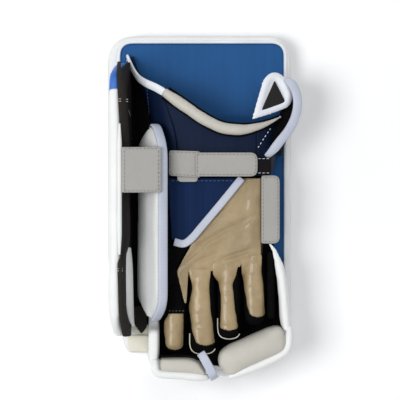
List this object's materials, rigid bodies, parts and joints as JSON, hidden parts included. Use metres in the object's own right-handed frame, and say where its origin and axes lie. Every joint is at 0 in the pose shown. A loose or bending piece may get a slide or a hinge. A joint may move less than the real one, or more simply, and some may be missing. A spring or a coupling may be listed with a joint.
{
  "type": "goalie blocker",
  "caption": "Flat padded goalkeeper blocker board with a sewn-on glove, flared cuff, standing sidewall, leaning thumb guard, fingertip guards and wrist strap.",
  "frame": {"origin": "centre of the board's flat front face", "axes": "+X towards the little finger, +Y towards the cuff, +Z away from the board on the palm side"},
  "size_m": [0.21, 0.3753, 0.0943],
  "materials": {
    "white_leather": "smooth synthetic leather, low sheen",
    "blue_leather": "smooth synthetic leather, low sheen",
    "cream_leather": "smooth synthetic leather, low sheen",
    "grey_leather": "fine-grained synthetic leather, matte",
    "tan_leather": "soft creased synthetic leather",
    "blue_nylon": "woven nylon, slight sheen",
    "navy_nylon": "woven nylon, slight sheen",
    "charcoal_fabric": "brushed lining, matte",
    "black_fabric": "knitted mesh, matte",
    "black_webbing": "ribbed webbing, matte",
    "black_elastic": "ribbed elastic, matte",
    "white_binding": "woven binding tape, matte",
    "pale_binding": "woven binding tape, slight sheen",
    "hook_tape": "nylon hook tape",
    "foam": "closed-cell foam, matte",
    "stiffener": "flat plastic sheet"
  },
  "bodies": {
    "board": {"face_panel": "white_leather", "face_band": "blue_leather", "board_foam_front": "foam", "board_stiffener": "stiffener", "board_foam_back": "foam", "board_edge_wrap": "white_leather", "board_back_panel": "blue_nylon", "board_binding": "white_binding", "lower_corner": "cream_leather", "finger_wall": "white_leather", "finger_guard_left": "cream_leather", "finger_guard_right": "cream_leather", "side_guard": "white_leather", "guard_tie": "grey_leather", "thumb_guard_tab": "black_webbing", "glove_back_pad": "black_fabric", "finger_backing": "black_fabric", "palm": "tan_leather", "thumb_side_gusset": "black_fabric", "hand_side_gusset": "black_fabric", "gauntlet_flap": "navy_nylon", "gauntlet_binding": "pale_binding", "thumb_root": "black_fabric", "cuff_left_wall": "navy_nylon", "cuff_wrist_panel": "navy_nylon", "cuff_right_wall": "navy_nylon", "cuff_roll": "cream_leather", "cuff_edge_binding": "white_binding", "strap_keeper": "grey_leather", "wrist_elastic": "black_elastic"},
    "sidewall": {"sidewall_core": "foam", "sidewall_outer_skin": "white_leather", "sidewall_tip": "blue_leather", "sidewall_liner": "charcoal_fabric", "sidewall_webbing": "black_webbing", "sidewall_inner_flap": "white_leather", "link_band_anchor": "grey_leather"},
    "link_band": {"link_band": "grey_leather"},
    "thumb_guard": {"thumb_guard_core": "foam", "thumb_guard_outer_skin": "white_leather", "thumb_guard_inner_skin": "charcoal_fabric", "thumb_guard_binding": "pale_binding"},
    "cuff_wing": {"cuff_wing": "charcoal_fabric", "cuff_wing_binding": "white_binding", "cuff_tongue": "charcoal_fabric", "cuff_tongue_binding": "white_binding"},
    "wrist_strap": {"wrist_strap": "grey_leather", "strap_hook_pad": "hook_tape"},
    "hand_tab": {"hand_tab": "grey_leather", "tab_hook_pad": "hook_tape"},
    "index_finger": {"index_sleeve": "black_fabric", "index_leather": "tan_leather"},
    "middle_finger": {"middle_sleeve": "black_fabric", "middle_leather": "tan_leather"},
    "ring_finger": {"ring_sleeve": "black_fabric", "ring_leather": "tan_leather"},
    "little_finger": {"little_sleeve": "black_fabric", "little_leather": "black_fabric"},
    "thumb": {"thumb_tip": "black_fabric", "thumb_patch": "tan_leather"}
  },
  "joints": [
    {"name": "sidewall_flex", "type": "hinge", "parent": "board", "child": "sidewall", "pos_m": [-0.088, 0, 0.0246], "axis": [0, -1, 0], "range_deg": [0, 8], "stiffness_Nm_per_rad": 3, "springref_deg": -1.72},
    {"name": "link_band_open", "type": "hinge", "parent": "sidewall", "child": "link_band", "pos_m": [-0.083, 0.0395, 0.0943], "axis": [0, -1, 0], "range_deg": [0, 85]},
    {"name": "thumb_guard_flex", "type": "hinge", "parent": "board", "child": "thumb_guard", "pos_m": [-0.0617, 0, 0.0224], "axis": [0, 1, 0], "range_deg": [0, 3], "stiffness_Nm_per_rad": 3, "springref_deg": -1.72},
    {"name": "cuff_wing_flex", "type": "hinge", "parent": "board", "child": "cuff_wing", "pos_m": [0.095, 0.095, 0.026], "axis": [0, 1, 0], "range_deg": [0, 12], "stiffness_Nm_per_rad": 1, "springref_deg": -1.15},
    {"name": "wrist_strap_open", "type": "hinge", "parent": "board", "child": "wrist_strap", "pos_m": [-0.004, 0.0455, 0.0744], "axis": [0, -1, 0], "range_deg": [0, 140]},
    {"name": "hand_tab_open", "type": "hinge", "parent": "board", "child": "hand_tab", "pos_m": [0.067, -0.0035, 0.0667], "axis": [0, -1, 0], "range_deg": [0, 120]},
    {"name": "index_curl", "type": "hinge", "parent": "board", "child": "index_finger", "pos_m": [0, -0.078, 0.046], "axis": [-1, 0, 0], "range_deg": [0, 60]},
    {"name": "middle_curl", "type": "hinge", "parent": "board", "child": "middle_finger", "pos_m": [0, -0.071, 0.046], "axis": [-1, 0, 0], "range_deg": [0, 60]},
    {"name": "ring_curl", "type": "hinge", "parent": "board", "child": "ring_finger", "pos_m": [0, -0.063, 0.046], "axis": [-1, 0, 0], "range_deg": [0, 60]},
    {"name": "little_curl", "type": "hinge", "parent": "board", "child": "little_finger", "pos_m": [0, -0.06, 0.046], "axis": [-1, 0, 0], "range_deg": [0, 60]},
    {"name": "thumb_curl", "type": "hinge", "parent": "board", "child": "thumb", "pos_m": [0, -0.104, 0.046], "axis": [-1, 0, 0], "range_deg": [0, 20]}
  ]
}
